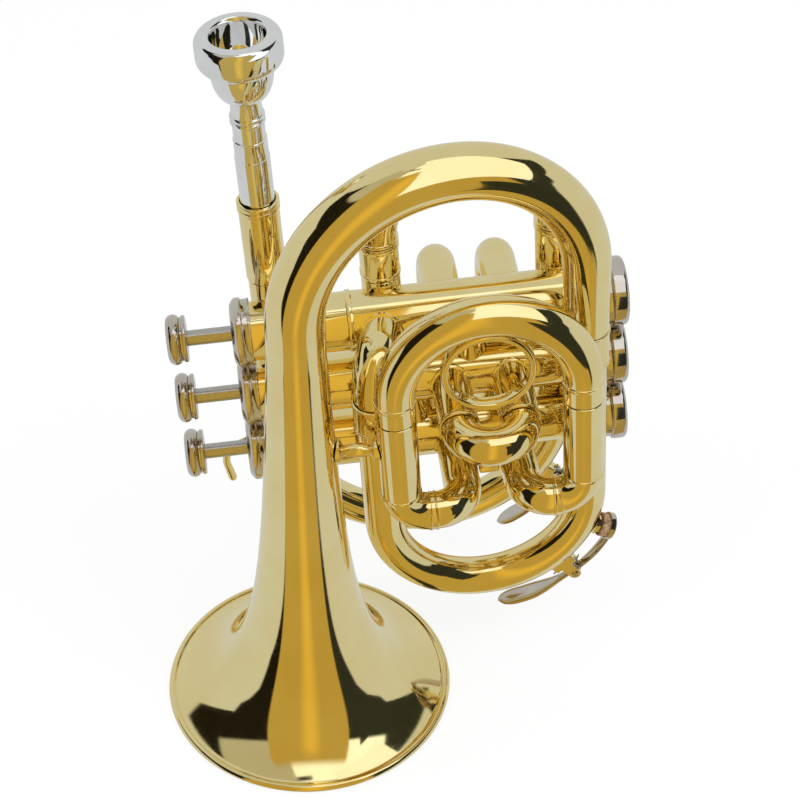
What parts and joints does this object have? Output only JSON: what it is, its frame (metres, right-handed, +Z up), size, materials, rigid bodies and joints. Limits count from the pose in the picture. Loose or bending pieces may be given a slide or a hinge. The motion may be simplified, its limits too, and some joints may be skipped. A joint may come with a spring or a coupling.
{
  "type": "pocket trumpet",
  "caption": "Compact brass trumpet with tightly coiled tubing, piston valves, pull slides, water keys and a separate mouthpiece, standing on its bell.",
  "frame": {"origin": "under the middle of the object's box, on the surface that the bell's mouth stands on", "axes": "+Z up along the bell's stem, +X from the finger buttons to the bottom valve caps, -Y towards the side with the third slide's finger ring"},
  "size_m": [0.1592, 0.12, 0.2315],
  "materials": {
    "gold_brass": "polished and clear lacquered",
    "nickel_plate": "polished",
    "silver_plate": "polished",
    "spring_steel": "drawn wire",
    "piston_alloy": "ground",
    "cork": "natural cork"
  },
  "bodies": {
    "horn": {"bell": "gold_brass", "bell_brace": "gold_brass", "bell_ferrule": "gold_brass", "bell_tail": "gold_brass", "bottom_cap_1": "nickel_plate", "bottom_cap_2": "nickel_plate", "bottom_cap_3": "nickel_plate", "first_outer_tube_left": "gold_brass", "first_outer_tube_right": "gold_brass", "knuckle_brace": "gold_brass", "leadpipe": "gold_brass", "leadpipe_bow": "gold_brass", "link_tube_12": "gold_brass", "link_tube_23": "gold_brass", "pinky_hook": "gold_brass", "receiver": "gold_brass", "second_outer_tube_left": "gold_brass", "second_outer_tube_right": "gold_brass", "tail_elbow": "gold_brass", "tail_ferrule": "gold_brass", "third_knuckle_left": "gold_brass", "third_knuckle_right": "gold_brass", "third_outer_tube_left": "gold_brass", "third_outer_tube_right": "gold_brass", "top_cap_1": "nickel_plate", "top_cap_2": "nickel_plate", "top_cap_3": "nickel_plate", "tuning_outer_tube_left": "gold_brass", "tuning_outer_tube_right": "gold_brass", "valve_3_inlet": "gold_brass", "valve_casing_1": "gold_brass", "valve_casing_2": "gold_brass", "valve_casing_3": "gold_brass", "valve_spring_1": "spring_steel", "valve_spring_2": "spring_steel", "valve_spring_3": "spring_steel", "water_key_nipple_1": "gold_brass", "water_key_nipple_2": "gold_brass", "water_key_saddle_1": "gold_brass", "water_key_saddle_2": "gold_brass"},
    "mouthpiece": {"mouthpiece": "silver_plate"},
    "valve_1": {"piston_1": "piston_alloy", "finger_button_1": "nickel_plate"},
    "valve_2": {"piston_2": "piston_alloy", "finger_button_2": "nickel_plate"},
    "valve_3": {"piston_3": "piston_alloy", "finger_button_3": "nickel_plate"},
    "tuning_slide": {"tuning_slide_bow": "gold_brass", "tuning_leg_left": "nickel_plate", "tuning_leg_right": "nickel_plate"},
    "third_slide": {"third_slide_bow": "gold_brass", "third_leg_left": "nickel_plate", "third_leg_right": "nickel_plate", "finger_ring": "gold_brass"},
    "second_slide": {"second_slide": "gold_brass"},
    "first_slide": {"first_slide": "gold_brass"},
    "water_key_1": {"water_key_lever_1": "nickel_plate", "water_key_cork_1": "cork"},
    "water_key_2": {"water_key_lever_2": "nickel_plate", "water_key_cork_2": "cork"}
  },
  "joints": [
    {"name": "mouthpiece_pull", "type": "slide", "parent": "horn", "child": "mouthpiece", "axis": [-0.0558, 0, 0.9984], "range_m": [0, 0.024]},
    {"name": "valve_1_press", "type": "slide", "parent": "horn", "child": "valve_1", "axis": [0.9984, 0, 0.0558], "range_m": [0, 0.013], "stiffness_N_per_m": 120, "springref_m": -0.02, "deforming": ["valve_spring_1"]},
    {"name": "valve_2_press", "type": "slide", "parent": "horn", "child": "valve_2", "axis": [0.9984, 0, 0.0558], "range_m": [0, 0.013], "stiffness_N_per_m": 120, "springref_m": -0.02, "deforming": ["valve_spring_2"]},
    {"name": "valve_3_press", "type": "slide", "parent": "horn", "child": "valve_3", "axis": [0.9984, 0, 0.0558], "range_m": [0, 0.013], "stiffness_N_per_m": 120, "springref_m": -0.02, "deforming": ["valve_spring_3"]},
    {"name": "tuning_slide_pull", "type": "slide", "parent": "horn", "child": "tuning_slide", "axis": [-0.0558, 0, 0.9984], "range_m": [0, 0.02]},
    {"name": "third_slide_pull", "type": "slide", "parent": "horn", "child": "third_slide", "axis": [-0.0558, 0, 0.9984], "range_m": [0, 0.02]},
    {"name": "second_slide_pull", "type": "slide", "parent": "horn", "child": "second_slide", "axis": [0, -1, 0], "range_m": [0, 0.01]},
    {"name": "first_slide_pull", "type": "slide", "parent": "horn", "child": "first_slide", "axis": [0.0558, 0, -0.9984], "range_m": [0, 0.018]},
    {"name": "water_key_1_open", "type": "hinge", "parent": "horn", "child": "water_key_1", "pos_m": [0.06162, 0.00065, 0.03478], "axis": [0, 1, 0], "range_deg": [0, 12], "stiffness_Nm_per_rad": 0.08, "springref_deg": -20.05},
    {"name": "water_key_2_open", "type": "hinge", "parent": "horn", "child": "water_key_2", "pos_m": [0.06191, 0.03955, 0.04078], "axis": [0, 1, 0], "range_deg": [0, 12], "stiffness_Nm_per_rad": 0.08, "springref_deg": -20.05}
  ]
}
